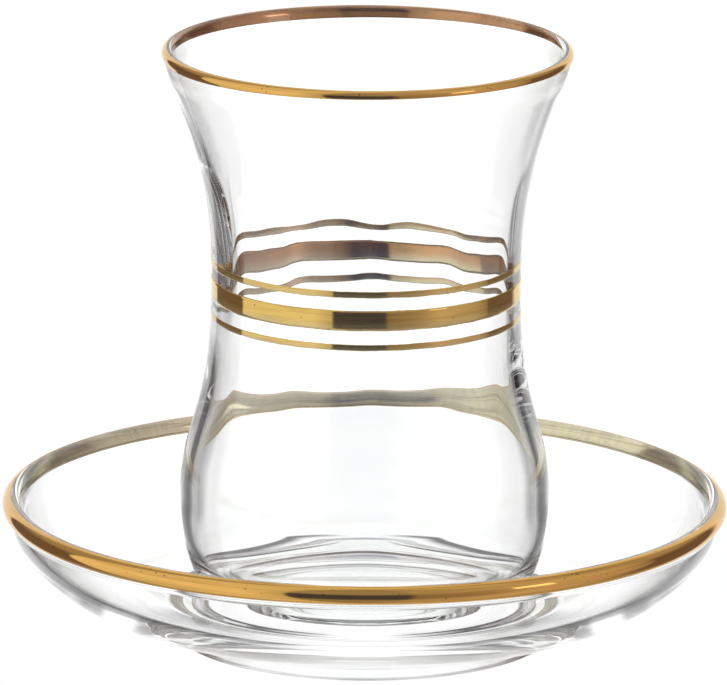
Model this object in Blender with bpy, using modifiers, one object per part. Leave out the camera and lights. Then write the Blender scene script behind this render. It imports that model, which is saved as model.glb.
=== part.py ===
"""Turkish tea glass with its saucer.

A waisted clear glass with a gilt lip and three gilt bands, standing on a clear glass saucer with a
gilt rim. Every piece is turned about the Z axis. The inside of the glass also has soft upright
panels, pressed into the wall. The origin is under the middle of the saucer's foot, +Z is up, and the
side shown to the viewer faces -Y.
"""

import math

import bmesh
import bpy
from mathutils import Vector
from mathutils.geometry import interpolate_bezier

MM = 0.001

# Turning: facets round the axis, and points along each curve of an outline
FACETS = 48
SEAM_MERGE = 0.000001
FLARE_POINTS = 8
BODY_POINTS = 8
HEEL_POINTS = 9
CORNER_POINTS = 8
HOLLOW_POINTS = 3
WALL_STEPS = 17
BOWL_POINTS = 10
LIP_SIDES = 6
RIM_SIDES = 7
FOOT_SIDES = 2
GILT_SIDES = 5

# Saucer, heights above the table
SAUCER_RADIUS = 55.0 * MM
SAUCER_BEAD_RADIUS = 1.5 * MM
SAUCER_BEAD_HEIGHT = 20.1 * MM
SAUCER_WALL = 2.3 * MM
SAUCER_FLOOR_TOP = 5.3 * MM
SAUCER_FLOOR_RADIUS = 26.0 * MM
BOWL_UNDERSIDE = 3.5 * MM
FOOT_RADIUS = 29.0 * MM
FOOT_RING_WIDTH = 2.4 * MM
FOOT_EDGE = 0.7 * MM
FOOT_FLARE = 2.0 * MM
FOOT_RECESS_TOP = 2.3 * MM
RIM_INNER_END = math.radians(170)
RIM_OUTER_END = math.radians(-60)

# Glass, heights above the table
GLASS_BASE = 5.6 * MM
GLASS_BASE_RADIUS = 21.7 * MM
GLASS_BASE_RING = 3.0 * MM
GLASS_PUNT = 0.5 * MM
GLASS_FLOOR = 7.6 * MM
GLASS_FLOOR_RADIUS = 14.0 * MM
BELLY_RADIUS = 28.12 * MM
BELLY_HEIGHT = 21.5 * MM
WAIST_RADIUS = 23.35 * MM
WAIST_HEIGHT = 53.85 * MM
LIP_RADIUS = 31.05 * MM
LIP_BEAD_RADIUS = 0.9 * MM
LIP_BEAD_HEIGHT = 90.0 * MM
LIP_LEAN = math.radians(17)

# Wall thickness, thinnest below the waist and thickest in the belly, with the heights between which
# it changes: from the lip's to the waist's, and from the waist's to the belly's
WALL_AT_LIP = 1.0 * MM
WALL_AT_WAIST = 0.65 * MM
WALL_AT_BELLY = 1.8 * MM
WALL_LIP_END = 62.0 * MM
WALL_WAIST_TOP = 43.5 * MM
WALL_WAIST_END = 49.7 * MM
WALL_BELLY_TOP = 28.1 * MM
INNER_BELLY_HEIGHT = 22.0 * MM
INNER_LIP_HEIGHT = 86.0 * MM

# How far the outline's curves reach before they turn: along the height at a waist, belly or floor,
# and as (radius, height) at an end that leans
LIP_REACH = (-3.4 * MM, -11.0 * MM)
WAIST_REACH_UP = 20.4 * MM
WAIST_REACH_DOWN = 20.1 * MM
BELLY_REACH_UP = 11.4 * MM
BELLY_REACH_DOWN = 5.2 * MM
INNER_BELLY_REACH_DOWN = 10.0 * MM
BASE_REACH = (5.0 * MM, 1.2 * MM)
FLOOR_REACH = 11.0 * MM
HOLLOW_EDGE_REACH = (-3.0 * MM, 0.4 * MM)
HOLLOW_REACH = 9.0 * MM
SAUCER_RIM_DROP = (0.3 * MM, -1.9 * MM)
SAUCER_INNER_RIM_RAISE = 0.3 * MM
SAUCER_FLOOR_REACH = (16.0 * MM, 0.3 * MM)
SAUCER_INNER_RIM_REACH = (-0.4 * MM, -5.4 * MM)
SAUCER_OUTER_RIM_REACH = (-0.5 * MM, -5.5 * MM)
SAUCER_FOOT_REACH = 12.2 * MM
FOOT_SIDE_REACH = 1.4 * MM

# Soft panels on the inside of the glass, with a rib between each two
PANELS = 12
RIB_TURN = math.radians(-12.6)
RIB_RISE = 0.13 * MM
RIBS_TOP = 76.0 * MM
RIBS_FULL = 67.0 * MM
RIBS_FAINT = 38.0 * MM
RIBS_END = 14.0 * MM
RIB_SHARE_WHERE_FAINT = 0.15

# Gilt bands round the waist: name, middle height and width
WAIST_BANDS = (
    ("waist_band_upper", 58.2 * MM, 0.95 * MM),
    ("waist_band_middle", 54.2 * MM, 3.05 * MM),
    ("waist_band_lower", 50.1 * MM, 0.90 * MM),
)

# Gilding, a thin strip at a small gap from the glass. The radii of lip, saucer and beads include it
GILT_THICKNESS = 0.25 * MM
GILT_GAP = 0.2 * MM
GILT_TOP = math.radians(82)
LIP_GILT_SKIRT = 0.3 * MM
SAUCER_GILT_END = math.radians(-55)


def clear_scene():
    """Remove the objects that the file opened with."""
    for old in list(bpy.data.objects):
        bpy.data.objects.remove(old, do_unlink=True)


def make_material(name, color, roughness, metallic=0.0, transmission=0.0):
    """One Principled material."""
    material = bpy.data.materials.new(name)
    material.use_nodes = True
    shader = material.node_tree.nodes["Principled BSDF"]
    shader.inputs["Base Color"].default_value = (*color, 1.0)
    shader.inputs["Roughness"].default_value = roughness
    shader.inputs["Metallic"].default_value = metallic
    shader.inputs["Transmission Weight"].default_value = transmission
    shader.inputs["IOR"].default_value = 1.5
    return material


def stretch(start, start_handle, end_handle, end, points):
    """Points (radius, height) of one smooth stretch of an outline, without its last point."""
    knots = [Vector(knot) for knot in (start, start_handle, end_handle, end)]
    return [(point.x, point.y) for point in interpolate_bezier(*knots, points + 1)[:-1]]


def away(knot, reach):
    """The point that lies a reach of (radius, height) away from a knot of the outline."""
    return (knot[0] + reach[0], knot[1] + reach[1])


def arc(middle, radius, start, end, sides):
    """Points round a bead's middle from one angle to another, 0 straight out and 90 degrees up."""
    points = []
    for side in range(sides + 1):
        angle = start + (end - start) * side / sides
        points.append((middle[0] + radius * math.cos(angle), middle[1] + radius * math.sin(angle)))
    return points


def lip_middle():
    """Middle of the round lip of the glass."""
    return (LIP_RADIUS - LIP_BEAD_RADIUS, LIP_BEAD_HEIGHT)


def saucer_bead_middle():
    """Middle of the round rim of the saucer."""
    return (SAUCER_RADIUS - SAUCER_BEAD_RADIUS, SAUCER_BEAD_HEIGHT)


def glass_lip():
    """The round end of the glass wall, from the inside over the top to the outside."""
    radius = LIP_BEAD_RADIUS - GILT_THICKNESS - GILT_GAP
    return arc(lip_middle(), radius, math.pi - LIP_LEAN, -LIP_LEAN, LIP_SIDES)


def glass_outside():
    """Outer outline of the glass from the lip down to the ring that it stands on."""
    lip = glass_lip()[-1]
    waist = (WAIST_RADIUS, WAIST_HEIGHT)
    belly = (BELLY_RADIUS, BELLY_HEIGHT)
    base = (GLASS_BASE_RADIUS, GLASS_BASE)
    flare = stretch(lip, away(lip, LIP_REACH), away(waist, (0, WAIST_REACH_UP)), waist, FLARE_POINTS)
    body = stretch(
        waist, away(waist, (0, -WAIST_REACH_DOWN)), away(belly, (0, BELLY_REACH_UP)), belly, BODY_POINTS
    )
    heel = stretch(belly, away(belly, (0, -BELLY_REACH_DOWN)), away(base, BASE_REACH), base, HEEL_POINTS)
    return flare + body + heel + [base]


def outside_radius(height):
    """Radius of the glass's outer side at a height, read off its outline."""
    outline = glass_outside()
    for upper, lower in zip(outline, outline[1:]):
        if lower[1] <= height <= upper[1]:
            share = (height - lower[1]) / (upper[1] - lower[1])
            return lower[0] + share * (upper[0] - lower[0])
    raise ValueError("height off the glass")


def glass_underside():
    """The ring that the glass stands on and the shallow hollow inside it."""
    edge = (GLASS_BASE_RADIUS - GLASS_BASE_RING, GLASS_BASE)
    middle = (0.0, GLASS_BASE + GLASS_PUNT)
    edge_handle = away(edge, HOLLOW_EDGE_REACH)
    return stretch(edge, edge_handle, away(middle, (HOLLOW_REACH, 0)), middle, HOLLOW_POINTS) + [middle]


def smooth_step(share):
    """A rise from 0 to 1 that starts and ends level."""
    share = min(max(share, 0.0), 1.0)
    return share * share * (3 - 2 * share)


def wall_thickness(height):
    """Thickness of the wall of the glass at a height, measured level."""
    towards_waist = smooth_step((WALL_LIP_END - height) / (WALL_LIP_END - WALL_WAIST_TOP))
    towards_belly = smooth_step((WALL_WAIST_END - height) / (WALL_WAIST_END - WALL_BELLY_TOP))
    at_waist = WALL_AT_LIP + (WALL_AT_WAIST - WALL_AT_LIP) * towards_waist
    return at_waist + (WALL_AT_BELLY - WALL_AT_WAIST) * towards_belly


def inner_point(height):
    """Point of the inner wall at a height."""
    return (outside_radius(height) - wall_thickness(height), height)


def glass_inside():
    """Inner outline of the glass from the middle of its floor up to the lip."""
    middle = (0.0, GLASS_FLOOR)
    floor_edge = (GLASS_FLOOR_RADIUS, GLASS_FLOOR)
    belly = inner_point(INNER_BELLY_HEIGHT)
    corner = stretch(
        floor_edge,
        away(floor_edge, (FLOOR_REACH, 0)),
        away(belly, (0, -INNER_BELLY_REACH_DOWN)),
        belly,
        CORNER_POINTS,
    )
    rise = (INNER_LIP_HEIGHT - INNER_BELLY_HEIGHT) / WALL_STEPS
    wall = [inner_point(INNER_BELLY_HEIGHT + rise * step) for step in range(WALL_STEPS + 1)]
    return [middle] + corner + wall


def glass_outline():
    """Whole outline of the glass: floor, inside, lip, outside and underside."""
    return glass_inside() + glass_lip()[:-1] + glass_outside() + glass_underside()


def saucer_outline():
    """Whole outline of the saucer: floor, inside, rim end, underside, foot and recess."""
    bead = saucer_bead_middle()
    bead_radius = SAUCER_BEAD_RADIUS - GILT_THICKNESS - GILT_GAP
    rim_out = away(bead, SAUCER_RIM_DROP)
    rim_in = away(rim_out, (-SAUCER_WALL, SAUCER_INNER_RIM_RAISE))
    floor_edge = (SAUCER_FLOOR_RADIUS, SAUCER_FLOOR_TOP)
    foot_top = (FOOT_RADIUS + FOOT_FLARE, BOWL_UNDERSIDE)
    inside = stretch(
        floor_edge,
        away(floor_edge, SAUCER_FLOOR_REACH),
        away(rim_in, SAUCER_INNER_RIM_REACH),
        rim_in,
        BOWL_POINTS,
    )
    rim_end = [rim_in] + arc(bead, bead_radius, RIM_INNER_END, RIM_OUTER_END, RIM_SIDES)
    underside = stretch(
        rim_out,
        away(rim_out, SAUCER_OUTER_RIM_REACH),
        away(foot_top, (SAUCER_FOOT_REACH, 0)),
        foot_top,
        BOWL_POINTS,
    )
    return [(0.0, SAUCER_FLOOR_TOP)] + inside + rim_end + underside + saucer_foot(foot_top)


def saucer_foot(foot_top):
    """The foot ring from the bowl's underside inwards, and the flat recess inside the ring."""
    side_end = (FOOT_RADIUS, FOOT_EDGE)
    side_handle = away(side_end, (0, FOOT_SIDE_REACH))
    side = stretch(foot_top, away(foot_top, (-FOOT_FLARE, 0)), side_handle, side_end, FOOT_SIDES)
    edge = arc((FOOT_RADIUS - FOOT_EDGE, FOOT_EDGE), FOOT_EDGE, 0, -math.pi / 2, FOOT_SIDES)
    ring_inside = FOOT_RADIUS - FOOT_RING_WIDTH
    recess_radius = ring_inside - FOOT_EDGE
    recess = [(ring_inside, 0.0), (recess_radius, FOOT_EDGE), (recess_radius, FOOT_RECESS_TOP)]
    return side + edge + recess + [(0.0, FOOT_RECESS_TOP)]


def band_outline(middle, width):
    """Section of one gilt band, a thin strip that follows the glass at a small gap."""
    top = middle + width / 2
    bottom = middle - width / 2
    top_radius = outside_radius(top) + GILT_GAP
    bottom_radius = outside_radius(bottom) + GILT_GAP
    return [
        (top_radius + GILT_THICKNESS, top),
        (bottom_radius + GILT_THICKNESS, bottom),
        (bottom_radius, bottom),
        (top_radius, top),
    ]


def rim_gilt_outline(middle, bead_radius, end, skirt):
    """Section of a rim's gilding, from the crest down the outer side, ending in a short skirt."""
    outer = arc(middle, bead_radius, GILT_TOP, end, GILT_SIDES)
    inner = arc(middle, bead_radius - GILT_THICKNESS, GILT_TOP, end, GILT_SIDES)
    if skirt:
        down = (math.sin(end) * skirt, -math.cos(end) * skirt)
        outer.append(away(outer[-1], down))
        inner.append(away(inner[-1], down))
    return outer + inner[::-1]


def turned(name, outline, material, collection, closed=False):
    """A piece turned about Z from an outline of (radius, height) points."""
    shape = bmesh.new()
    verts = [shape.verts.new((radius, 0.0, height)) for radius, height in outline]
    for start, end in zip(verts, verts[1:]):
        shape.edges.new((start, end))
    if closed:
        shape.edges.new((verts[-1], verts[0]))
    mesh = bpy.data.meshes.new(name)
    shape.to_mesh(mesh)
    shape.free()
    piece = bpy.data.objects.new(name, mesh)
    collection.objects.link(piece)
    screw = piece.modifiers.new("Turn", "SCREW")
    screw.axis = "Z"
    screw.angle = 2 * math.pi
    screw.steps = FACETS
    screw.render_steps = FACETS
    screw.use_merge_vertices = True
    screw.merge_threshold = SEAM_MERGE
    screw.use_smooth_shade = True
    mesh.materials.append(material)
    return piece


def apply_turning(piece):
    """Swap a turned piece's outline for the solid that it turns."""
    solid = bpy.data.meshes.new_from_object(piece.evaluated_get(bpy.context.evaluated_depsgraph_get()))
    solid.name = piece.name
    piece.modifiers.clear()
    piece.data = solid


def rib_rise(height):
    """How far the ribs stand in from the mean inner wall, full just above the waist."""
    if height >= RIBS_FULL:
        return RIB_RISE * smooth_step((RIBS_TOP - height) / (RIBS_TOP - RIBS_FULL))
    faint = RIB_RISE * RIB_SHARE_WHERE_FAINT
    if height >= RIBS_FAINT:
        return faint + (RIB_RISE - faint) * smooth_step((height - RIBS_FAINT) / (RIBS_FULL - RIBS_FAINT))
    return faint * smooth_step((height - RIBS_END) / (RIBS_FAINT - RIBS_END))


def press_panels(piece):
    """Move the inner wall in at the ribs and out at the panels between them."""
    for vertex in piece.data.vertices:
        place = vertex.co
        if not RIBS_END < place.z < RIBS_TOP:
            continue
        radius = math.hypot(place.x, place.y)
        if radius > outside_radius(place.z) - WALL_AT_LIP / 4:
            continue
        rib = math.cos(PANELS * math.atan2(place.y, place.x))
        new_radius = radius - rib_rise(place.z) * rib
        place.x *= new_radius / radius
        place.y *= new_radius / radius


def main():
    clear_scene()
    collection = bpy.data.collections.new("turkish_tea_glass")
    bpy.context.scene.collection.children.link(collection)
    clear_glass = make_material("clear_glass", (0.96, 0.98, 0.97), 0.02, transmission=1.0)
    saucer_glass = make_material("saucer_glass", (0.94, 0.97, 0.96), 0.02, transmission=1.0)
    gilt = make_material("gilt", (0.83, 0.60, 0.24), 0.18, metallic=1.0)
    rim_gilt = make_material("rim_gilt", (0.80, 0.52, 0.19), 0.18, metallic=1.0)
    band_gilt = make_material("band_gilt", (0.84, 0.64, 0.30), 0.20, metallic=1.0)

    turned("saucer", saucer_outline(), saucer_glass, collection)
    saucer_gilt = rim_gilt_outline(saucer_bead_middle(), SAUCER_BEAD_RADIUS, SAUCER_GILT_END, 0.0)
    turned("saucer_rim_gilt", saucer_gilt, rim_gilt, collection, closed=True)

    glass = turned("tea_glass", glass_outline(), clear_glass, collection)
    apply_turning(glass)
    press_panels(glass)
    glass.rotation_euler.z = RIB_TURN
    lip_gilt = rim_gilt_outline(lip_middle(), LIP_BEAD_RADIUS, -LIP_LEAN, LIP_GILT_SKIRT)
    on_the_glass = [("glass_rim_gilt", lip_gilt, gilt)]
    for name, middle, width in WAIST_BANDS:
        on_the_glass.append((name, band_outline(middle, width), band_gilt))

    # Turned as the glass is, so that their facets lie along its facets
    for name, outline, material in on_the_glass:
        strip = turned(name, outline, material, collection, closed=True)
        strip.rotation_euler.z = RIB_TURN


main()
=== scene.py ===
"""Turkish tea glass on its saucer.

Builds the fine, see-through pieces over the packed model: a waisted glass with soft panels inside,
its gilt lip and three gilt bands, and the clear saucer with its gilt rim. All pieces are turned about
the Z axis. Sizes are in metres, heights are above the table.
"""

import math

import bmesh
import bpy
from bpy.props import FloatProperty, FloatVectorProperty, IntProperty, PointerProperty
from mathutils import Matrix, Vector, noise
from mathutils.geometry import interpolate_bezier


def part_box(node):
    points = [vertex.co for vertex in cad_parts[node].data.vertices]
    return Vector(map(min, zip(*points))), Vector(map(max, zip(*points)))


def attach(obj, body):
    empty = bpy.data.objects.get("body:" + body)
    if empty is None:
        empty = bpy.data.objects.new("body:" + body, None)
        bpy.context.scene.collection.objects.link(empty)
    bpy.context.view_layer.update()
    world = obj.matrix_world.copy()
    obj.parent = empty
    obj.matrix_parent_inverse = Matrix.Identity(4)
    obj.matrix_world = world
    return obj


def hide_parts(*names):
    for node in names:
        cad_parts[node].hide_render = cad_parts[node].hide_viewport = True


bl_info = {
    "name": "Turkish Tea Glass",
    "version": (1, 0, 0),
    "blender": (4, 5, 0),
    "location": "3D View > Sidebar > Tea Glass",
    "description": "Builds a gilt tulip tea glass standing on its gilt glass saucer",
    "category": "Add Mesh",
}

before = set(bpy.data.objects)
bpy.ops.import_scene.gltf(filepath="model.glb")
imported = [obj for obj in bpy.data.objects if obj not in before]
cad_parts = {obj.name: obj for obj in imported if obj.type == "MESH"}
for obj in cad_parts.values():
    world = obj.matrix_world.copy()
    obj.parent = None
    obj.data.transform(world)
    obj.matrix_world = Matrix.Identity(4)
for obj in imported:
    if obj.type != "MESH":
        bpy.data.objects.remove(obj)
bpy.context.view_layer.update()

MM = 0.001
GLASS_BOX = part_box("tea_glass")
LIP_GILT_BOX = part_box("glass_rim_gilt")
SAUCER_GILT_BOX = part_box("saucer_rim_gilt")
BAND_NODES = ("waist_band_upper", "waist_band_middle", "waist_band_lower")

# Clearance that keeps the turned pieces inside the packed model's facets
INSET = 0.02 * MM

GLASS_SEGMENTS = 264
SAUCER_SEGMENTS = 288
GILT_SEGMENTS = 576
SEAM = 0.000002


# Settings


def length(name, description, default):
    """A size in metres that the user can change."""
    return FloatProperty(name=name, description=description, default=default, unit="LENGTH", precision=5)


def angle(name, description, degrees):
    """An angle that the user can change."""
    return FloatProperty(name=name, description=description, default=math.radians(degrees), unit="ROTATION")


def share(name, description, default):
    """A plain factor that the user can change."""
    return FloatProperty(name=name, description=description, default=default, min=0.0, soft_max=1.0)


def colour(name, description, default):
    """A linear colour that the user can change."""
    return FloatVectorProperty(
        name=name, description=description, default=default, size=3, subtype="COLOR", min=0.0, max=1.0
    )


class GlassSettings(bpy.types.PropertyGroup):
    """Sizes of the waisted glass."""

    base: length("Base", "Height of the ring that the glass stands on", GLASS_BOX[0].z)
    base_radius: length("Base radius", "Radius of the heel at the base", 21.7 * MM)
    base_ring: length("Base ring", "Width of the ring that the glass stands on", 3.0 * MM)
    punt: length("Punt", "Depth of the hollow under the base", 0.5 * MM)
    floor: length("Floor", "Height of the inner floor", 7.6 * MM)
    floor_radius: length("Floor radius", "Radius of the flat part of the inner floor", 14.0 * MM)
    belly_radius: length("Belly radius", "Outer radius of the belly", 28.12 * MM)
    belly_height: length("Belly height", "Height of the belly's widest place", 21.5 * MM)
    waist_radius: length("Waist radius", "Outer radius of the waist", 23.35 * MM)
    waist_height: length("Waist height", "Height of the waist's narrowest place", 53.85 * MM)
    lip_radius: length("Lip radius", "Outer radius of the lip", LIP_GILT_BOX[1].x)
    lip_thickness: length("Lip thickness", "Thickness of the round lip", 1.8 * MM)
    lip_top: length("Lip top", "Height of the top of the lip", LIP_GILT_BOX[1].z)
    lip_lean: angle("Lip lean", "How far the lip's wall leans outwards", 17)
    wall_at_lip: length("Lip wall", "Wall thickness below the lip", 1.0 * MM)
    wall_at_waist: length("Waist wall", "Wall thickness at the waist", 0.65 * MM)
    wall_at_belly: length("Belly wall", "Wall thickness at the belly", 1.8 * MM)
    panels: IntProperty(name="Panels", description="Soft panels inside the glass", default=12, min=3)
    rib_turn: angle("Rib turn", "Turn of the first rib about the axis", -12.6)
    rib_rise: length("Rib rise", "How far the ribs stand in from the mean wall", 0.13 * MM)
    cavity_shift: length("Cavity shift", "How far the inside sits off the axis above the waist", 0.4 * MM)


class SaucerSettings(bpy.types.PropertyGroup):
    """Sizes of the saucer."""

    radius: length("Radius", "Outer radius of the rim", SAUCER_GILT_BOX[1].x)
    rim_thickness: length("Rim thickness", "Thickness of the round rim", 3.0 * MM)
    rim_top: length("Rim top", "Height of the top of the rim", SAUCER_GILT_BOX[1].z)
    wall: length("Wall", "Thickness of the bowl under the rim", 2.3 * MM)
    floor: length("Floor", "Height of the floor that the glass stands on", 5.3 * MM)
    floor_radius: length("Floor radius", "Radius of the flat part of the floor", 26.0 * MM)
    underside: length("Underside", "Height of the bowl's underside at the foot", 3.5 * MM)
    foot_radius: length("Foot radius", "Outer radius of the foot ring", 29.0 * MM)
    foot_width: length("Foot width", "Width of the foot ring", 2.4 * MM)
    foot_recess: length("Foot recess", "Height of the underside inside the foot ring", 2.3 * MM)


class GildingSettings(bpy.types.PropertyGroup):
    """Thickness and colours of the gilding."""

    film: length("Film", "How far the gilding stands out of the glass", 0.04 * MM)
    root: length("Root", "How deep the gilding sits in the glass", 0.04 * MM)
    skirt: length("Skirt", "How far the lip's gilding runs down the outside at the back", 0.9 * MM)
    band_gold: colour("Band gold", "Gold of the waist bands", (0.80, 0.54, 0.155))
    lip_gold: colour("Lip gold", "Gold of the lip", (0.79, 0.46, 0.13))
    rim_gold: colour("Rim gold", "Gold of the saucer's rim", (0.82, 0.47, 0.125))
    # Pale gold of the bands' low edge: thinner gold with painted pale light in front, painted light only
    # through the glass
    pale_gold: colour("Pale gold", "Thin gold along the low edge of the bands", (0.75, 0.70, 0.48))
    band_copper: colour("Band back", "Side of the bands that shows through the glass", (0.66, 0.36, 0.15))
    lip_copper: colour("Lip back", "Side of the lip that shows through the glass", (0.55, 0.29, 0.13))
    rim_copper: colour("Rim back", "Side of the rim that shows through the glass", (0.94, 0.85, 0.57))
    roughness: share("Roughness", "Roughness of the polished gilding", 0.05)


class ClearGlassSettings(bpy.types.PropertyGroup):
    """Look of the clear glass."""

    tint: colour("Tint", "Colour that the glass gives the light", (0.985, 0.992, 0.988))
    index: FloatProperty(name="Index", description="Refractive index", default=1.5, min=1.0)
    waviness: length("Waviness", "Depth of the soft waves in the surface", 0.01 * MM)


class StageSettings(bpy.types.PropertyGroup):
    """Camera, floor and studio light."""

    distance: length("Distance", "Distance of the camera from the middle of the set", 1.6)
    pitch: angle("Pitch", "How far the camera looks down", 13.93)
    roll: angle("Roll", "How far the camera is rolled", 0.4)
    focal: FloatProperty(name="Focal length", description="Focal length in mm", default=523.5, unit="CAMERA")
    aim_side: length("Aim side", "How far right of the axis the camera aims", -0.33 * MM)
    aim_height: length("Aim height", "Height above the table that the camera aims at", 45.14 * MM)
    floor_size: length("Floor size", "Side of the floor", 6.0)
    white: share("White", "Brightness of the floor and the backdrop", 1.0)
    soft_boxes: share("Soft boxes", "Brightness of the soft boxes that the gilding mirrors", 1.0)
    bounces: IntProperty(name="Bounces", description="Turns of the light inside the glass", default=32, min=8)


# Outlines


def away(knot, reach):
    """The point that lies a reach of (radius, height) away from a knot of the outline."""
    return (knot[0] + reach[0], knot[1] + reach[1])


def stretch(start, start_handle, end_handle, end, points):
    """Points (radius, height) of one smooth stretch of an outline, without its last point."""
    knots = [Vector(knot) for knot in (start, start_handle, end_handle, end)]
    return [(point.x, point.y) for point in interpolate_bezier(*knots, points + 1)[:-1]]


def arc(middle, radius, start, end, sides):
    """Points round a middle from one angle to another in degrees, 0 straight out and 90 up."""
    points = []
    for side in range(sides + 1):
        turn = math.radians(start + (end - start) * side / sides)
        points.append((middle[0] + radius * math.cos(turn), middle[1] + radius * math.sin(turn)))
    return points


# How near to the corner the handles of a rounded corner lie, as a share of its radius
CORNER_HANDLE = 0.4


def rounded(before, corner, after, radius, sides=5):
    """Points that round a corner of the outline off, between the points before and after it."""
    corner_at = Vector(corner)
    back = (Vector(before) - corner_at).normalized() * radius
    on = (Vector(after) - corner_at).normalized() * radius
    handles = (corner_at + back * CORNER_HANDLE, corner_at + on * CORNER_HANDLE)
    points = interpolate_bezier(corner_at + back, *handles, corner_at + on, sides + 1)
    return [(point.x, point.y) for point in points]


def evenly(start, end, steps):
    """Points on a straight run, without its last point."""
    return [tuple(Vector(start).lerp(Vector(end), step / steps)) for step in range(steps)]


def lip_middle(glass):
    """Middle of the round lip of the glass."""
    half = glass.lip_thickness / 2
    return (glass.lip_radius - half, glass.lip_top - half)


def rim_middle(saucer):
    """Middle of the round rim of the saucer."""
    half = saucer.rim_thickness / 2
    return (saucer.radius - half, saucer.rim_top - half)


# Points along each stretch of the glass's outline
LIP_POINTS = 24
FLARE_POINTS = 40
BODY_POINTS = 36
HEEL_POINTS = 32
RING_POINTS = 3
HOLLOW_POINTS = 12
FLAT_POINTS = 8
INNER_CORNER_POINTS = 40
INNER_WALL_POINTS = 96
INNER_LIP_POINTS = 14

# How far the handles of the glass's outline reach
LIP_REACH = (-3.4 * MM, -11.0 * MM)
WAIST_REACH_UP = 20.4 * MM
WAIST_REACH_DOWN = 20.1 * MM
BELLY_REACH_UP = 11.4 * MM
BELLY_REACH_DOWN = 5.2 * MM
BASE_REACH = (5.0 * MM, 1.2 * MM)
RING_REACH = 2.0 * MM
HOLLOW_REACH = 2.5 * MM
FLOOR_REACH = 11.0 * MM
INNER_BELLY_REACH_DOWN = 10.0 * MM
INNER_LIP_REACH = 0.4

# Heights between which the inside follows the outside at the wall's thickness
INNER_BELLY_HEIGHT = 22.0 * MM
INNER_LIP_HEIGHT = 86.0 * MM

# Heights between which the wall changes its thickness
WALL_LIP_END = 62.0 * MM
WALL_WAIST_TOP = 43.5 * MM
WALL_WAIST_END = 49.7 * MM
WALL_BELLY_TOP = 28.1 * MM

# Rounding of the heel, and radius of the flat hollow under the base as a share of the ring's
HEEL_EDGE = 0.35 * MM
HOLLOW_SHARE = 0.62


def lip_end(glass, gilding):
    """The round end of the glass wall, from the inside over the top to the outside."""
    radius = glass.lip_thickness / 2 - gilding.film - INSET
    lean = math.degrees(glass.lip_lean)
    return arc(lip_middle(glass), radius, 180 - lean, -lean, LIP_POINTS)


def glass_outside(glass, gilding):
    """Outer outline of the glass from the lip down to the heel."""
    lip = lip_end(glass, gilding)[-1]
    waist = (glass.waist_radius, glass.waist_height)
    belly = (glass.belly_radius, glass.belly_height)
    base = (glass.base_radius, glass.base)
    flare = stretch(lip, away(lip, LIP_REACH), away(waist, (0, WAIST_REACH_UP)), waist, FLARE_POINTS)
    body = stretch(
        waist, away(waist, (0, -WAIST_REACH_DOWN)), away(belly, (0, BELLY_REACH_UP)), belly, BODY_POINTS
    )
    heel = stretch(belly, away(belly, (0, -BELLY_REACH_DOWN)), away(base, BASE_REACH), base, HEEL_POINTS)
    return flare + body + heel


def glass_underside(glass, before):
    """Rounded heel, the ring that the glass stands on and the shallow hollow inside it."""
    heel = (glass.base_radius, glass.base)
    ring_in = (glass.base_radius - glass.base_ring, glass.base)
    hollow = (ring_in[0] * HOLLOW_SHARE, glass.base + glass.punt)
    middle = (0.0, glass.base + glass.punt)
    edge = rounded(before, heel, ring_in, HEEL_EDGE)
    slope = stretch(
        ring_in, away(ring_in, (-RING_REACH, 0)), away(hollow, (HOLLOW_REACH, 0)), hollow, HOLLOW_POINTS
    )
    ring = evenly(edge[-1], ring_in, RING_POINTS)[1:]
    return edge + ring + slope + evenly(hollow, middle, FLAT_POINTS) + [middle]


def smooth_step(position):
    """A rise from 0 to 1 that starts and ends level."""
    position = min(max(position, 0.0), 1.0)
    return position * position * (3 - 2 * position)


def wall_thickness(glass, height):
    """Thickness of the wall of the glass at a height, measured level."""
    towards_waist = smooth_step((WALL_LIP_END - height) / (WALL_LIP_END - WALL_WAIST_TOP))
    towards_belly = smooth_step((WALL_WAIST_END - height) / (WALL_WAIST_END - WALL_BELLY_TOP))
    at_waist = glass.wall_at_lip + (glass.wall_at_waist - glass.wall_at_lip) * towards_waist
    return at_waist + (glass.wall_at_belly - glass.wall_at_waist) * towards_belly


def radius_at(outline, height):
    """Radius of an outline that runs downwards, at a height."""
    for upper, lower in zip(outline, outline[1:]):
        if lower[1] <= height <= upper[1]:
            along = (height - lower[1]) / (upper[1] - lower[1])
            return lower[0] + along * (upper[0] - lower[0])
    raise ValueError("height off the glass")


def glass_inside(glass, gilding):
    """Inner outline of the glass from the middle of its floor up to the lip."""
    middle = (0.0, glass.floor)
    floor_edge = (glass.floor_radius, glass.floor)
    outside = glass_outside(glass, gilding)
    rise = (INNER_LIP_HEIGHT - INNER_BELLY_HEIGHT) / INNER_WALL_POINTS
    wall = []
    for step in range(INNER_WALL_POINTS + 1):
        height = INNER_BELLY_HEIGHT + rise * step
        wall.append((radius_at(outside, height) - wall_thickness(glass, height), height))
    belly, top = wall[0], wall[-1]
    lip = lip_end(glass, gilding)[0]
    corner = stretch(
        floor_edge, away(floor_edge, (FLOOR_REACH, 0)), away(belly, (0, -INNER_BELLY_REACH_DOWN)), belly,
        INNER_CORNER_POINTS,
    )
    lean = math.tan(glass.lip_lean)
    reach = (lip[1] - top[1]) * INNER_LIP_REACH
    end = stretch(
        top, away(top, (reach * lean, reach)), away(lip, (-reach * lean, -reach)), lip, INNER_LIP_POINTS
    )
    return evenly(middle, floor_edge, FLAT_POINTS) + corner + wall[:-1] + end


def glass_outline(glass, gilding):
    """Whole outline of the glass: floor, inside, lip, outside and underside."""
    outside = glass_outside(glass, gilding)
    return (
        glass_inside(glass, gilding)
        + lip_end(glass, gilding)[:-1]
        + outside
        + glass_underside(glass, outside[-1])
    )


# Points along each stretch of the saucer's outline
BOWL_POINTS = 48
RIM_POINTS = 28
NECK_POINTS = 10
SAUCER_FLAT_POINTS = 10

# The round end of the saucer's wall, in degrees from straight out
RIM_START = 170
RIM_END = -60

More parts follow.
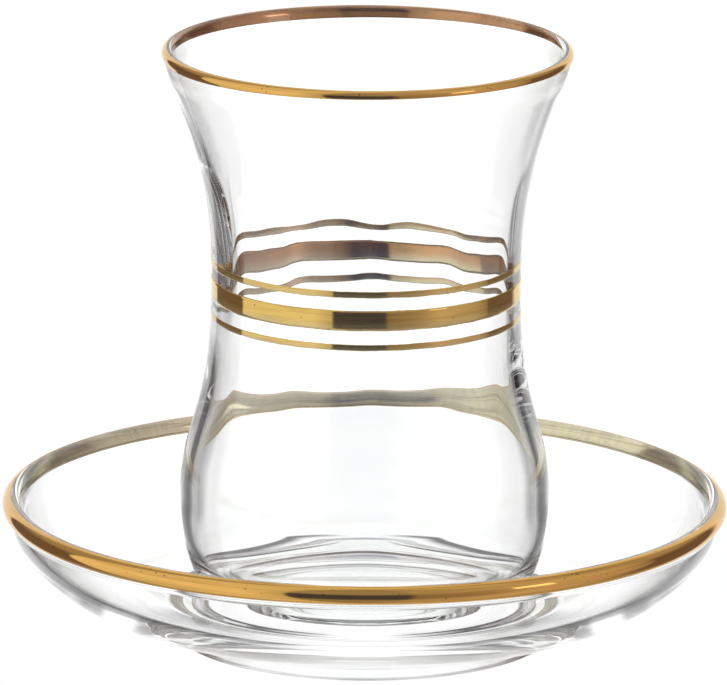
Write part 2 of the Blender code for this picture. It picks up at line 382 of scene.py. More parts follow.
# Where the wall meets the round rim, and how far the handles of the saucer's outline reach
SAUCER_RIM_DROP = (0.3 * MM, -1.9 * MM)
SAUCER_INNER_RIM_RAISE = 0.3 * MM
SAUCER_FLOOR_REACH = (16.0 * MM, 0.3 * MM)
SAUCER_INNER_RIM_REACH = (-0.4 * MM, -5.4 * MM)
SAUCER_OUTER_RIM_REACH = (-0.5 * MM, -5.5 * MM)
SAUCER_FOOT_REACH = 12.2 * MM

# How far the foot flares into the bowl, its lean and the reach of its neck as shares of that, its
# rounding, and the slope inside it as a share of that
FOOT_FLARE = 2.0 * MM
FOOT_LEAN = 0.2
NECK_REACH = 0.6
FOOT_EDGE = 0.7 * MM
RECESS_SLOPE = 1.6


def saucer_outline(saucer, gilding):
    """Whole outline of the saucer: floor, inside, rim end, underside, foot and recess."""
    rim = rim_middle(saucer)
    rim_radius = saucer.rim_thickness / 2 - gilding.film - INSET
    rim_out = away(rim, SAUCER_RIM_DROP)
    rim_in = away(rim_out, (-saucer.wall, SAUCER_INNER_RIM_RAISE))
    floor_edge = (saucer.floor_radius, saucer.floor)
    foot_top = (saucer.foot_radius + FOOT_FLARE, saucer.underside)
    inside = stretch(
        floor_edge, away(floor_edge, SAUCER_FLOOR_REACH), away(rim_in, SAUCER_INNER_RIM_REACH), rim_in,
        BOWL_POINTS,
    )
    rim_end = arc(rim, rim_radius, RIM_START, RIM_END, RIM_POINTS)
    underside = stretch(
        rim_out, away(rim_out, SAUCER_OUTER_RIM_REACH), away(foot_top, (SAUCER_FOOT_REACH, 0)), foot_top,
        BOWL_POINTS,
    )
    foot_out = (saucer.foot_radius, 0.0)
    foot_in = (saucer.foot_radius - saucer.foot_width, 0.0)
    recess = (foot_in[0] - FOOT_EDGE * RECESS_SLOPE, saucer.foot_recess)
    centre = (0.0, saucer.foot_recess)
    above_foot = away(foot_out, (FOOT_FLARE * FOOT_LEAN, saucer.underside))
    outer_edge = rounded(above_foot, foot_out, foot_in, FOOT_EDGE)
    inner_edge = rounded(foot_out, foot_in, recess, FOOT_EDGE)
    neck = stretch(
        foot_top, away(foot_top, (-FOOT_FLARE * NECK_REACH, 0)),
        away(outer_edge[0], (0, FOOT_FLARE * NECK_REACH)), outer_edge[0], NECK_POINTS,
    )
    top = rounded(foot_in, recess, centre, FOOT_EDGE)
    return (
        evenly((0.0, saucer.floor), floor_edge, SAUCER_FLAT_POINTS)
        + inside
        + [rim_in]
        + rim_end
        + underside
        + neck
        + outer_edge
        + inner_edge
        + top
        + evenly(top[-1], centre, SAUCER_FLAT_POINTS)[1:]
        + [centre]
    )


# Turning and shaping


def turned(outline, segments, closed=False):
    """A mesh in the making, turned about Z from an outline of (radius, height) points."""
    shape = bmesh.new()
    verts = [shape.verts.new((radius, 0.0, height)) for radius, height in outline]
    edges = [shape.edges.new(pair) for pair in zip(verts, verts[1:])]
    if closed:
        edges.append(shape.edges.new((verts[-1], verts[0])))
    bmesh.ops.spin(
        shape, geom=verts + edges, cent=(0, 0, 0), axis=(0, 0, 1), angle=math.tau, steps=segments,
        use_merge=True,
    )
    bmesh.ops.remove_doubles(shape, verts=shape.verts[:], dist=SEAM)
    bmesh.ops.recalc_face_normals(shape, faces=shape.faces[:])
    return shape


def finished(name, shape, materials):
    """The object of a shape, smooth all over, at the origin and riding on the only body."""
    for face in shape.faces:
        face.smooth = True
    mesh = bpy.data.meshes.new(name)
    shape.to_mesh(mesh)
    shape.free()
    for material in materials:
        mesh.materials.append(material)
    piece = bpy.data.objects.new(name, mesh)
    bpy.context.scene.collection.objects.link(piece)
    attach(piece, "root")
    return piece


# Heights between which the ribs fade, how strong they stay in the belly, and how much broader the
# panels are than the ribs
RIBS_TOP = 76.0 * MM
RIBS_FULL = 67.0 * MM
RIBS_FAINT = 38.0 * MM
RIBS_END = 14.0 * MM
FAINT_SHARE = 0.15
RIB_BREADTH = 0.17

# Heights between which the inside shifts off the axis: none in the belly, most above the waist
SHIFT_START = 38.0 * MM
SHIFT_FULL = 60.0 * MM
SHIFT_END = 84.0 * MM

# Decimals of a metre that tell one level of points from the next, and the share of the wall within
# which a point counts to the outside
LEVEL_DIGITS = 6
OUTSIDE_SHARE = 0.25


def rib_height(height):
    """How far the ribs stand in at a height, 1 just above the waist and fading up and down."""
    if height >= RIBS_FULL:
        return smooth_step((RIBS_TOP - height) / (RIBS_TOP - RIBS_FULL))
    if height >= RIBS_FAINT:
        return FAINT_SHARE + (1 - FAINT_SHARE) * smooth_step((height - RIBS_FAINT) / (RIBS_FULL - RIBS_FAINT))
    return FAINT_SHARE * smooth_step((height - RIBS_END) / (RIBS_FAINT - RIBS_END))


def shift_share(height):
    """Share of the inside's shift off the axis at a height."""
    rise = smooth_step((height - SHIFT_START) / (SHIFT_FULL - SHIFT_START))
    return rise * smooth_step((SHIFT_END - height) / (SHIFT_END - SHIFT_FULL))


def press_panels(shape, glass, outside):
    """Move the inner wall in at the ribs and out at the panels, and shift it off the axis."""
    outer_radius, rise = {}, {}
    for vertex in shape.verts:
        place = vertex.co
        if not RIBS_END < place.z < SHIFT_END:
            continue
        level = round(place.z, LEVEL_DIGITS)
        if level not in outer_radius:
            outer_radius[level] = radius_at(outside, place.z)
            rise[level] = glass.rib_rise * rib_height(place.z)
        radius = math.hypot(place.x, place.y)
        if radius > outer_radius[level] - glass.wall_at_lip * OUTSIDE_SHARE:
            continue
        turn = glass.panels * (math.atan2(place.y, place.x) - glass.rib_turn)
        rib = math.cos(turn) - RIB_BREADTH * math.cos(2 * turn)
        pressed = radius - rise[level] * rib
        place.x = place.x * pressed / radius + glass.cavity_shift * shift_share(place.z)
        place.y *= pressed / radius


def strip_section(outline_points, film, root):
    """Section of a gilding strip that follows points of the glass, standing out and sitting in."""
    outer, inner = [], []
    last = len(outline_points) - 1
    for index, point in enumerate(outline_points):
        before = Vector(outline_points[max(index - 1, 0)])
        after = Vector(outline_points[min(index + 1, last)])
        along = (after - before).normalized()
        out = Vector((-along.y, along.x))
        outer.append(tuple(Vector(point) + out * film))
        inner.append(tuple(Vector(point) - out * root))
    return outer + inner[::-1]


# Uneven edges of the bands: how deep, how near to the edge they start, the waves as (scale, share),
# and how far apart in the noise the bands read
EDGE_DEPTH = 0.06 * MM
EDGE_START = 0.4
EDGE_WAVES = ((9.0, 1.0), (38.0, 0.6))
EDGE_SEED = 7.3


def ragged(shape, low, high, seed):
    """Make a strip's two edges slightly uneven: points near an edge move along the strip's height."""
    middle = (low + high) / 2
    for vertex in shape.verts:
        place = vertex.co
        turn = math.atan2(place.y, place.x)
        side = 1 if place.z > middle else -1
        near = smooth_step((abs(place.z - middle) / (high - middle) - EDGE_START) / (1 - EDGE_START))
        round_at = Vector((math.cos(turn), math.sin(turn), seed + side))
        wave = sum(part * noise.noise(round_at * scale) for scale, part in EDGE_WAVES)
        place.z += side * near * EDGE_DEPTH * wave


# A band lower than this counts as thin, and its top edge already counts this much as low edge
THIN_BAND = 1.5 * MM
THIN_BAND_EDGE = 0.55


def mark_low_edge(shape, low, high):
    """Store on each point how near it is to a band's low edge, 1 there, for the gilding's pale edge of
    thinner gold and painted light.
    """
    start = THIN_BAND_EDGE if high - low < THIN_BAND else 0.0
    layer = shape.verts.layers.float.new("low_edge")
    for vertex in shape.verts:
        vertex[layer] = start + (1 - start) * (high - vertex.co.z) / (high - low)


# Where the lip's gilding runs down furthest, its least share of that in front, and its points
SKIRT_SIDE = math.radians(115.0)
SKIRT_LEAST = 0.03
SKIRT_POINTS = 6


def tilt_low_edge(shape, start_height, lean):
    """Draw the lip gilding's low edge up in front, so that it runs slightly aslant round the glass."""
    for vertex in shape.verts:
        place = vertex.co
        if place.z >= start_height:
            continue
        turn = math.atan2(place.y, place.x)
        kept = SKIRT_LEAST + (1 - SKIRT_LEAST) * (1 + math.cos(turn - SKIRT_SIDE)) / 2
        rise = (start_height - place.z) * (1 - kept)
        radius = math.hypot(place.x, place.y)
        place.x *= (radius + rise * lean) / radius
        place.y *= (radius + rise * lean) / radius
        place.z += rise


def mark_back(shape, core):
    """Give the faces that look towards a strip's core the second material."""
    for face in shape.faces:
        place = face.calc_center_median()
        turn = math.atan2(place.y, place.x)
        core_at = Vector((core[0] * math.cos(turn), core[0] * math.sin(turn), core[1]))
        face.material_index = int(face.normal.dot(place - core_at) < 0)


# Materials


def new_material(name):
    """A material with its node tree, shader and output."""
    material = bpy.data.materials.new(name)
    material.use_nodes = True
    return material, material.node_tree, material.node_tree.nodes["Principled BSDF"]


def add_node(tree, kind, inputs=(), **settings):
    """A node with its settings and input values or links."""
    node = tree.nodes.new(kind)
    for key, value in settings.items():
        setattr(node, key, value)
    for key, value in dict(inputs).items():
        if isinstance(value, bpy.types.NodeSocket):
            tree.links.new(value, node.inputs[key])
        else:
            node.inputs[key].default_value = value
    return node


def math_node(tree, operation, *values):
    """One calculation in a node tree."""
    return add_node(tree, "ShaderNodeMath", dict(enumerate(values)), operation=operation).outputs[0]


def vector_node(tree, operation, *values):
    """One calculation with vectors in a node tree."""
    return add_node(tree, "ShaderNodeVectorMath", dict(enumerate(values)), operation=operation).outputs[0]


def ranged(tree, value, start, end, low, high, **settings):
    """A value that goes from low to high while another goes from start to end."""
    ends = {"Value": value, "From Min": start, "From Max": end, "To Min": low, "To Max": high}
    return add_node(tree, "ShaderNodeMapRange", ends, **settings).outputs[0]


def eased(tree, value, start, end, low, high):
    """As ranged, but starting and ending softly."""
    return ranged(tree, value, start, end, low, high, interpolation_type="SMOOTHSTEP")


def blended(tree, part, first, second):
    """Two colours mixed: the first at part 0, the second at 1."""
    mix = add_node(tree, "ShaderNodeMix", {"Factor": part, "A": first, "B": second}, data_type="RGBA")
    return mix.outputs["Result"]


def noise_node(tree, place, scale, detail):
    """Soft noise at a scale."""
    sockets = {"Vector": place, "Scale": scale, "Detail": detail}
    return add_node(tree, "ShaderNodeTexNoise", sockets).outputs["Fac"]


def solid(shade):
    """A shade with its fourth part, as colour sockets want it."""
    return (*shade, 1.0)


def stops(ramp_node, points):
    """Set a colour ramp's stops from (position, colour) pairs."""
    ramp = ramp_node.color_ramp
    while len(ramp.elements) > 1:
        ramp.elements.remove(ramp.elements[-1])
    for index, (position, shade) in enumerate(points):
        element = ramp.elements[0] if index == 0 else ramp.elements.new(position)
        element.position = position
        element.color = solid(shade)


def bumpy(tree, shader, height, depth, strength):
    """Give a shader soft bumps from a height."""
    sockets = {"Height": height, "Distance": depth, "Strength": strength}
    bump = add_node(tree, "ShaderNodeBump", sockets)
    tree.links.new(bump.outputs["Normal"], shader.inputs["Normal"])


# Scale of the soft waves in the glass
WAVE_SCALE = 55.0


def clear_glass_material(name, look):
    """Clear pressed glass with soft waves in its surface."""
    material, tree, shader = new_material(name)
    place = add_node(tree, "ShaderNodeTexCoord").outputs["Object"]
    bumpy(tree, shader, noise_node(tree, place, WAVE_SCALE, 1.0), look.waviness, 1.0)
    shader.inputs["Roughness"].default_value = 0.0
    shader.inputs["Base Color"].default_value = solid(look.tint)
    shader.inputs["IOR"].default_value = look.index
    shader.inputs["Transmission Weight"].default_value = 1.0
    return material


def around_coordinates(tree):
    """The place of a point, its direction from the axis and its height as a vector."""
    place = add_node(tree, "ShaderNodeTexCoord").outputs["Object"]
    unit = vector_node(tree, "NORMALIZE", vector_node(tree, "MULTIPLY", place, (1, 1, 0)))
    return place, unit, vector_node(tree, "MULTIPLY", place, (0, 0, 1))


def shaded(shade, kept):
    """A colour made darker."""
    return tuple(part * kept for part in shade)


# How the gilding pales towards a band's low edge: where down the band it starts, and how far it pales at
# most, from the front and through the glass. In front it is thinner, less metallic gold with painted pale
# light; through the glass it stays metallic, and the paling is painted light, bright low down and darker at
# the top.
FRONT_THIN_GOLD_AND_LIGHT = (0.5, 0.3)
BACK_PAINTED_LIGHT = (0.3, 0.85)


def thinner_gold_and_painted_light(tree, shader, tone, pale, start, most):
    """Turn the gilding pale towards a band's low edge, with thinner gold and painted pale light there, and
    return how pale it is.
    """
    edge = add_node(tree, "ShaderNodeAttribute", attribute_name="low_edge")
    paling = eased(tree, edge.outputs["Fac"], start, 1.0, 0.0, most)
    tree.links.new(blended(tree, paling, tone, solid(pale)), shader.inputs["Base Color"])
    return paling


# Streaks round the strip: how finely they lie over each other, their scale, detail, shade and depth,
# and where in the noise the shade and the roughness change
STREAK_FINENESS = 900.0
STREAK_SCALE = 3.0
STREAK_DETAIL = 4.0
STREAK_SHADE = 0.84
STREAK_STOPS = (0.35, 0.55)
STREAK_DEPTH = 0.01 * MM
STREAK_STRENGTH = 0.6
ROUGH_RANGE = (0.3, 0.7)
ROUGHER, SMOOTHER = 1.6, 0.7

# Small dark pits, found only in some places
PIT_SCALE = 900.0
PIT_EDGE = (0.08, 0.16)
PIT_SHADE = 0.3
PITTED_SCALE = 260.0
PITTED_DETAIL = 2.0
PITTED_EDGE = (0.56, 0.5)


def gilding_material(name, gold, gilding):
    """Polished fired gold with streaks round the strip and a few small pits."""
    material, tree, shader = new_material(name)
    place, unit, height = around_coordinates(tree)
    stretched = vector_node(tree, "MULTIPLY", height, (0, 0, STREAK_FINENESS))
    streak = noise_node(tree, vector_node(tree, "ADD", unit, stretched), STREAK_SCALE, STREAK_DETAIL)
    tone = add_node(tree, "ShaderNodeValToRGB", {"Fac": streak})
    stops(tone, zip(STREAK_STOPS, (shaded(gold, STREAK_SHADE), gold)))
    pits = add_node(tree, "ShaderNodeTexVoronoi", {"Vector": place, "Scale": PIT_SCALE})
    off_pit = ranged(tree, pits.outputs["Distance"], *PIT_EDGE, 0.0, 1.0)
    places = noise_node(tree, place, PITTED_SCALE, PITTED_DETAIL)
    off_pitted = ranged(tree, places, *PITTED_EDGE, 0.0, 1.0)
    clean = math_node(tree, "MAXIMUM", off_pit, off_pitted)
    pitted = blended(tree, clean, solid(shaded(gold, PIT_SHADE)), tone.outputs["Color"])
    # Pale, less metallic gold towards the low edge: thinner gold, with painted pale light
    paling = thinner_gold_and_painted_light(tree, shader, pitted, gilding.pale_gold, *FRONT_THIN_GOLD_AND_LIGHT)
    tree.links.new(math_node(tree, "SUBTRACT", 1.0, paling), shader.inputs["Metallic"])
    rough = ranged(tree, streak, *ROUGH_RANGE, gilding.roughness * ROUGHER, gilding.roughness * SMOOTHER)
    tree.links.new(rough, shader.inputs["Roughness"])
    bumpy(tree, shader, streak, STREAK_DEPTH, STREAK_STRENGTH)
    return material


# Clouds and grain of the gilding's back: their scales and detail, the grain's share, the clouds' shade
# and where in the noise it changes
CLOUD_SCALE = 2.6
CLOUD_DETAIL = 3.0
CLOUD_SHADE = 0.7
CLOUD_STOPS = (0.45, 0.75)
GRAIN_SCALE = 1400.0
GRAIN_DETAIL = 2.0
GRAIN_SHARE = 0.35
BACK_ROUGHNESS = 0.08

# How metallic the backs are; the rim's is the palest and dullest
BACK_METAL = 0.97
RIM_BACK_METAL = 0.8


def gilding_back_material(name, copper, metal, gilding):
    """The side of the fired gold that shows through the glass, with darker clouds and painted light: paler
    and brighter towards a band's low edge, darker at the top.
    """
    material, tree, shader = new_material(name)
    place, unit, height = around_coordinates(tree)
    cloud = noise_node(tree, vector_node(tree, "ADD", unit, height), CLOUD_SCALE, CLOUD_DETAIL)
    grain = noise_node(tree, place, GRAIN_SCALE, GRAIN_DETAIL)
    both = math_node(tree, "MULTIPLY_ADD", grain, GRAIN_SHARE, cloud)
    tone = add_node(tree, "ShaderNodeValToRGB", {"Fac": both})
    stops(tone, zip(CLOUD_STOPS, (shaded(copper, CLOUD_SHADE), copper)))
    # Painted light: the back stays metallic and turns pale and bright towards the low edge
    thinner_gold_and_painted_light(tree, shader, tone.outputs["Color"], gilding.pale_gold, *BACK_PAINTED_LIGHT)
    shader.inputs["Metallic"].default_value = metal
    shader.inputs["Roughness"].default_value = BACK_ROUGHNESS
    return material


# World and camera


WHITE = (1.0, 1.0, 1.0)


def grey(level):
    """A neutral shade."""
    return (level, level, level)


REFLECTOR_TINT = (1.0, 0.88, 0.95)


def reflector(level):
    """A shade of the tinted reflector on the right."""
    return shaded(REFLECTOR_TINT, level)


WARM_GAP = (0.19, 0.15, 0.16)
COOL_GAP = (0.08, 0.09, 0.19)
# What the gilding mirrors, in degrees round from the camera's side, right positive: the white sweep
# behind, a gap, the soft box on the left, the gap at the camera, the reflector on the right, a gap
MIRROR_STUDIO = (
    (-180, WHITE), (-148, WHITE),
    (-147, WARM_GAP), (-105, WARM_GAP),
    (-104, grey(0.95)), (-40, WHITE), (-25, grey(0.65)),
    (-24, COOL_GAP), (15, COOL_GAP),
    (16, reflector(0.3)), (40, reflector(0.42)), (58, reflector(0.66)), (90, reflector(0.55)),
    (102, reflector(0.35)), (104, WARM_GAP), (140, WARM_GAP),
    (147, WHITE), (180, WHITE),
)
# How far below level the mirrored studio's middle lies, how far from it the studio starts and ends
# evening out, how much it does at most, and the grey that it evens out to
MIRROR_DROP = 0.15
EVEN_RANGE = (0.3, 0.65)
EVEN_MOST = 0.5
EVEN_GREY = 0.7
# The lamp that sparkles on the rims: degrees round from the camera's side and half its width, height
# and half of that, brightness
LAMP_ROUND = 55.0
LAMP_HALF_WIDTH = 7.0
LAMP_HEIGHT = 0.2
LAMP_HALF_HEIGHT = 0.13
LAMP_LEVEL = 1.2
# What is seen through the glass, level and low down: degrees round from straight behind and brightness,
# up to the last stop, from where it runs back, so that it repeats every quarter turn
BACKLIGHT_HALF = 45
BACKLIGHT_STUDIO = ((0, 1.0), (11, 1.0), (17, 0.28), (33, 0.08), (BACKLIGHT_HALF, 0.55))
LOW_BACKLIGHT_STUDIO = ((0, 1.0), (5, 1.0), (9, 0.08), (BACKLIGHT_HALF, 0.03))
# Heights of the direction between which the low pattern ends, the white from under the table ends, and
# the light from above dims, how much is left of that, and the brightness of all of it
LOW_RANGE = (-0.48, -0.35)
UNDER_RANGE = (-0.95, -0.8)
OVERHEAD_RANGE = (0.35, 0.75)
OVERHEAD_LEAST = 0.4
BACKLIGHT_LEVEL = 1.2
# Light that leaves the glass at least this far backwards is seen through it, also after a turn inside
BEHIND = 0.6


def world_direction(tree):
    """The three parts of the direction that a ray of light comes from."""
    direction = add_node(tree, "ShaderNodeTexCoord").outputs["Generated"]
    return add_node(tree, "ShaderNodeSeparateXYZ", {"Vector": direction}).outputs


def mirrored_studio(tree, stage, x, y, z):
    """What the gilding mirrors from a direction: soft boxes, dark gaps and a lamp."""
    round_from_camera = math_node(tree, "ARCTAN2", x, math_node(tree, "MULTIPLY", y, -1.0))
    mirror_at = math_node(tree, "MULTIPLY_ADD", round_from_camera, 1 / math.tau, 0.5)
    mirror = add_node(tree, "ShaderNodeValToRGB", {"Fac": mirror_at})
    stops(mirror, [((degrees + 180) / 360, shade) for degrees, shade in MIRROR_STUDIO])
    off_level = math_node(tree, "ABSOLUTE", math_node(tree, "ADD", z, MIRROR_DROP))
    evenness = eased(tree, off_level, *EVEN_RANGE, 0.0, EVEN_MOST)
    evened = blended(tree, evenness, mirror.outputs["Color"], solid(grey(EVEN_GREY)))
    lamp_side = math_node(
        tree, "COMPARE", round_from_camera, math.radians(LAMP_ROUND), math.radians(LAMP_HALF_WIDTH)
    )
    lamp_height = math_node(tree, "COMPARE", z, LAMP_HEIGHT, LAMP_HALF_HEIGHT)
    lamp = math_node(tree, "MULTIPLY", math_node(tree, "MULTIPLY", lamp_side, lamp_height), LAMP_LEVEL)
    with_lamp = vector_node(tree, "ADD", evened, lamp)
    scaled = add_node(
        tree, "ShaderNodeVectorMath", {0: with_lamp, "Scale": stage.soft_boxes}, operation="SCALE"
    )
    return scaled.outputs[0]


def see_through_studio(tree, x, y, z):
    """What is seen through the glass from a direction: bright straight behind, dark beside that."""
    round_from_behind = math_node(tree, "ABSOLUTE", math_node(tree, "ARCTAN2", x, y))
    quarter = math_node(tree, "PINGPONG", round_from_behind, math.radians(BACKLIGHT_HALF))
    quarter_at = math_node(tree, "DIVIDE", quarter, math.radians(BACKLIGHT_HALF))
    lights = []
    for studio in (BACKLIGHT_STUDIO, LOW_BACKLIGHT_STUDIO):
        light = add_node(tree, "ShaderNodeValToRGB", {"Fac": quarter_at})
        stops(light, [(degrees / BACKLIGHT_HALF, grey(level)) for degrees, level in studio])
        lights.append(light.outputs["Color"])
    backlight = blended(tree, eased(tree, z, *LOW_RANGE, 1.0, 0.0), *lights)
    over_table = eased(tree, z, *UNDER_RANGE, 0.0, 1.0)
    sides = math_node(tree, "MULTIPLY", backlight, over_table)
    under = math_node(tree, "SUBTRACT", 1.0, over_table)
    overhead = eased(tree, z, *OVERHEAD_RANGE, 1.0, OVERHEAD_LEAST)
    through = math_node(tree, "MULTIPLY", math_node(tree, "ADD", sides, under), overhead)
    return math_node(tree, "MULTIPLY", through, BACKLIGHT_LEVEL)


def studio_world(stage):
    """Soft studio light: what is mirrored, what is seen through the glass, and white for the camera."""
    world = bpy.data.worlds.new("soft_studio")
    bpy.context.scene.world = world
    world.use_nodes = True
    world.cycles.sampling_method = "NONE"
    tree = world.node_tree
    x, y, z = world_direction(tree)
    mirrored = mirrored_studio(tree, stage, x, y, z)
    through = see_through_studio(tree, x, y, z)

    path = add_node(tree, "ShaderNodeLightPath").outputs
    is_behind = math_node(tree, "GREATER_THAN", y, BEHIND)
    is_in_glass = math_node(tree, "MINIMUM", path["Transmission Depth"], 1.0)
    is_clear = math_node(tree, "SUBTRACT", 1.0, math_node(tree, "MULTIPLY", is_behind, is_in_glass))
    is_turned = math_node(tree, "MINIMUM", path["Glossy Depth"], 1.0)
    lit = blended(tree, math_node(tree, "MULTIPLY", is_turned, is_clear), through, mirrored)
    seen = blended(tree, path["Is Camera Ray"], lit, solid(grey(stage.white)))
    tree.links.new(seen, tree.nodes["Background"].inputs["Color"])


# How far the floor lies below the set
FLOOR_DROP = 0.3 * MM


def studio_floor(stage):
    """The plain white floor, lit so evenly that nothing on it casts a shadow."""
    shape = bmesh.new()
    bmesh.ops.create_grid(shape, x_segments=2, y_segments=2, size=stage.floor_size / 2)
    bmesh.ops.translate(shape, verts=shape.verts[:], vec=(0, 0, -FLOOR_DROP))
    mesh = bpy.data.meshes.new("studio_floor")
    shape.to_mesh(mesh)
    shape.free()
    material, tree, shader = new_material("studio_floor")
    shader.inputs["Base Color"].default_value = solid(grey(0.0))
    shader.inputs["Specular IOR Level"].default_value = 0.0
    shader.inputs["Emission Color"].default_value = solid(WHITE)
    shader.inputs["Emission Strength"].default_value = stage.white
    mesh.materials.append(material)
    floor = bpy.data.objects.new("studio_floor", mesh)
    bpy.context.scene.collection.objects.link(floor)
    floor.visible_glossy = False
    floor.visible_transmission = False
    floor.visible_diffuse = False


# Nearest and furthest that the camera sees
CLIP_START = 0.05
CLIP_END = 50.0


def photo_camera(stage):
    """The camera, far off with a long lens, looking slightly down."""
    camera = bpy.data.cameras.new("camera")
    camera.lens = stage.focal
    camera.clip_start = CLIP_START
    camera.clip_end = CLIP_END
    holder = bpy.data.objects.new("camera", camera)
    bpy.context.scene.collection.objects.link(holder)
    aim = Vector((stage.aim_side, 0.0, stage.aim_height))
    back = Vector((0.0, -math.cos(stage.pitch), math.sin(stage.pitch))) * stage.distance
    tilt = Matrix.Rotation(math.pi / 2 - stage.pitch, 4, "X") @ Matrix.Rotation(stage.roll, 4, "Z")
    holder.matrix_world = Matrix.Translation(aim + back) @ tilt
    bpy.context.scene.camera = holder


# Operators


# Where the gilding of the lip and of the rim starts and the rim's ends, in degrees from straight out,
# and the points along the strips
GILT_START = 80
RIM_GILT_END = -55
LIP_GILT_POINTS = 18
RIM_GILT_POINTS = 24
BAND_POINTS = 8


class TEAGLASS_OT_glass(bpy.types.Operator):
    """Build the clear waisted glass with its soft inner panels"""

    bl_idname = "teaglass.glass"
    bl_label = "Tea Glass"

    def execute(self, context):
        settings = context.scene.tea_glass
        gilding = context.scene.tea_gilding
        shape = turned(glass_outline(settings, gilding), GLASS_SEGMENTS)
        press_panels(shape, settings, glass_outside(settings, gilding))
        material = clear_glass_material("clear_glass", context.scene.tea_clear_glass)
        piece = finished("clear_tea_glass", shape, [material])
        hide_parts("tea_glass")
        return {"FINISHED"}


class TEAGLASS_OT_lip_gilding(bpy.types.Operator):
    """Gild the outer side of the lip"""

    bl_idname = "teaglass.lip_gilding"
    bl_label = "Lip Gilding"

    def execute(self, context):
        glass = context.scene.tea_glass
        gilding = context.scene.tea_gilding
        middle = lip_middle(glass)
        radius = glass.lip_thickness / 2 - gilding.film - INSET
        round_end = arc(middle, radius, GILT_START, -math.degrees(glass.lip_lean), LIP_GILT_POINTS)
        outside = glass_outside(glass, gilding)
        end_height = round_end[-1][1]
        skirt = []
        for step in range(1, SKIRT_POINTS + 1):
            height = end_height - gilding.skirt * step / SKIRT_POINTS
            skirt.append((radius_at(outside, height), height))
        section = strip_section(round_end + skirt, gilding.film, gilding.root)
        shape = turned(section, GILT_SEGMENTS, closed=True)
        mark_back(shape, middle)
        tilt_low_edge(shape, end_height, math.tan(glass.lip_lean))
        materials = [
            gilding_material("lip_gold", gilding.lip_gold, gilding),
            gilding_back_material("lip_gold_back", gilding.lip_copper, BACK_METAL, gilding),
        ]
        piece = finished("lip_gilding", shape, materials)
        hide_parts("glass_rim_gilt")
        return {"FINISHED"}


class TEAGLASS_OT_waist_bands(bpy.types.Operator):
    """Gild the three bands round the waist"""

    bl_idname = "teaglass.waist_bands"
    bl_label = "Waist Bands"

    def execute(self, context):
        glass = context.scene.tea_glass
        gilding = context.scene.tea_gilding
        outside = glass_outside(glass, gilding)
        materials = [
            gilding_material("band_gold", gilding.band_gold, gilding),
            gilding_back_material("band_gold_back", gilding.band_copper, BACK_METAL, gilding),
        ]
        for seed, node in enumerate(BAND_NODES):
            low, high = (corner.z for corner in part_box(node))
            heights = [high + (low - high) * step / BAND_POINTS for step in range(BAND_POINTS + 1)]
            section = strip_section(
                [(radius_at(outside, height), height) for height in heights], gilding.film, gilding.root
            )
            shape = turned(section, GILT_SEGMENTS, closed=True)
            mark_back(shape, (0.0, (low + high) / 2))
            mark_low_edge(shape, low, high)
            ragged(shape, low, high, seed * EDGE_SEED)
            piece = finished(node.replace("waist_band", "gilt_band"), shape, materials)
            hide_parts(node)
        return {"FINISHED"}


class TEAGLASS_OT_saucer(bpy.types.Operator):
    """Build the clear saucer with its foot ring"""

    bl_idname = "teaglass.saucer"
    bl_label = "Saucer"

    def execute(self, context):
        shape = turned(saucer_outline(context.scene.tea_saucer, context.scene.tea_gilding), SAUCER_SEGMENTS)
        material = clear_glass_material("saucer_glass", context.scene.tea_clear_glass)
        piece = finished("clear_saucer", shape, [material])
        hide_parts("saucer")
        return {"FINISHED"}


class TEAGLASS_OT_saucer_gilding(bpy.types.Operator):
    """Gild the outer side of the saucer's rim"""

    bl_idname = "teaglass.saucer_gilding"
    bl_label = "Saucer Gilding"

    def execute(self, context):
        saucer = context.scene.tea_saucer
        gilding = context.scene.tea_gilding
        middle = rim_middle(saucer)
        radius = saucer.rim_thickness / 2 - gilding.film - INSET
        round_end = arc(middle, radius, GILT_START, RIM_GILT_END, RIM_GILT_POINTS)
        section = strip_section(round_end, gilding.film, gilding.root)
        shape = turned(section, GILT_SEGMENTS, closed=True)
        mark_back(shape, middle)
        materials = [
            gilding_material("rim_gold", gilding.rim_gold, gilding),
            gilding_back_material("rim_gold_back", gilding.rim_copper, RIM_BACK_METAL, gilding),
        ]
        piece = finished("rim_gilding", shape, materials)
        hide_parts("saucer_rim_gilt")
        return {"FINISHED"}


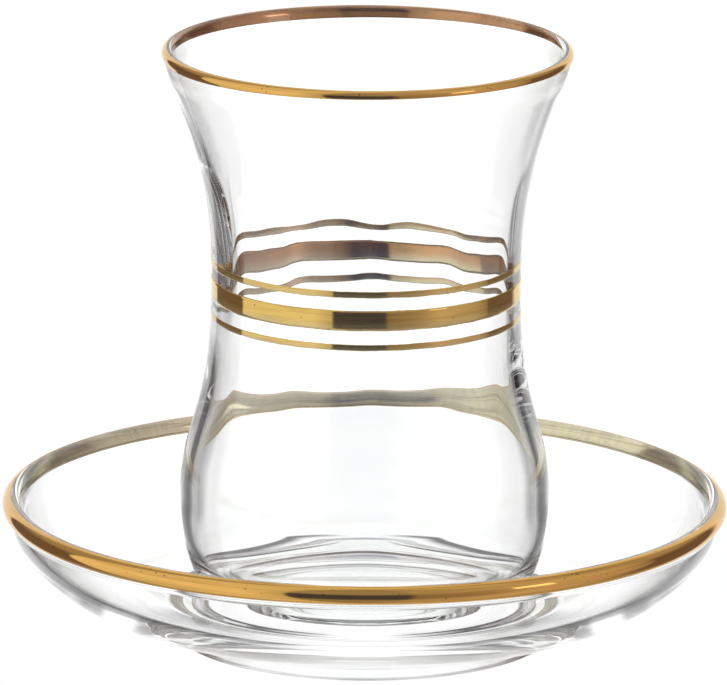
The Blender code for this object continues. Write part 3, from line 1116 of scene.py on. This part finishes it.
class TEAGLASS_OT_stage(bpy.types.Operator):
    """Set the floor, the soft studio light and the camera"""

    bl_idname = "teaglass.stage"
    bl_label = "Stage"

    def execute(self, context):
        stage = context.scene.tea_stage
        context.scene.view_settings.view_transform = "Standard"
        for bounces in ("max_bounces", "transmission_bounces", "glossy_bounces"):
            setattr(context.scene.cycles, bounces, stage.bounces)
        studio_world(stage)
        studio_floor(stage)
        photo_camera(stage)
        return {"FINISHED"}


OPERATORS = (
    TEAGLASS_OT_glass,
    TEAGLASS_OT_lip_gilding,
    TEAGLASS_OT_waist_bands,
    TEAGLASS_OT_saucer,
    TEAGLASS_OT_saucer_gilding,
    TEAGLASS_OT_stage,
)
SETTINGS = {
    "tea_glass": GlassSettings,
    "tea_saucer": SaucerSettings,
    "tea_gilding": GildingSettings,
    "tea_clear_glass": ClearGlassSettings,
    "tea_stage": StageSettings,
}


class TEAGLASS_PT_panel(bpy.types.Panel):
    """The tea glass's settings and buttons"""

    bl_idname = "TEAGLASS_PT_panel"
    bl_label = "Tea Glass"
    bl_space_type = "VIEW_3D"
    bl_region_type = "UI"
    bl_category = "Tea Glass"

    def draw(self, context):
        for name, group in SETTINGS.items():
            box = self.layout.box()
            box.label(text=group.__doc__)
            for setting in group.__annotations__:
                box.prop(getattr(context.scene, name), setting)
        for operator in OPERATORS:
            self.layout.operator(operator.bl_idname)


def register():
    for group in SETTINGS.values():
        bpy.utils.register_class(group)
    for operator in OPERATORS:
        bpy.utils.register_class(operator)
    bpy.utils.register_class(TEAGLASS_PT_panel)
    for name, group in SETTINGS.items():
        setattr(bpy.types.Scene, name, PointerProperty(type=group))


def unregister():
    for name in SETTINGS:
        delattr(bpy.types.Scene, name)
    bpy.utils.unregister_class(TEAGLASS_PT_panel)
    for operator in reversed(OPERATORS):
        bpy.utils.unregister_class(operator)
    for group in reversed(list(SETTINGS.values())):
        bpy.utils.unregister_class(group)


def main():
    register()
    bpy.ops.teaglass.stage()
    bpy.ops.teaglass.glass()
    bpy.ops.teaglass.lip_gilding()
    bpy.ops.teaglass.waist_bands()
    bpy.ops.teaglass.saucer()
    bpy.ops.teaglass.saucer_gilding()


if __name__ == "__main__":
    main()
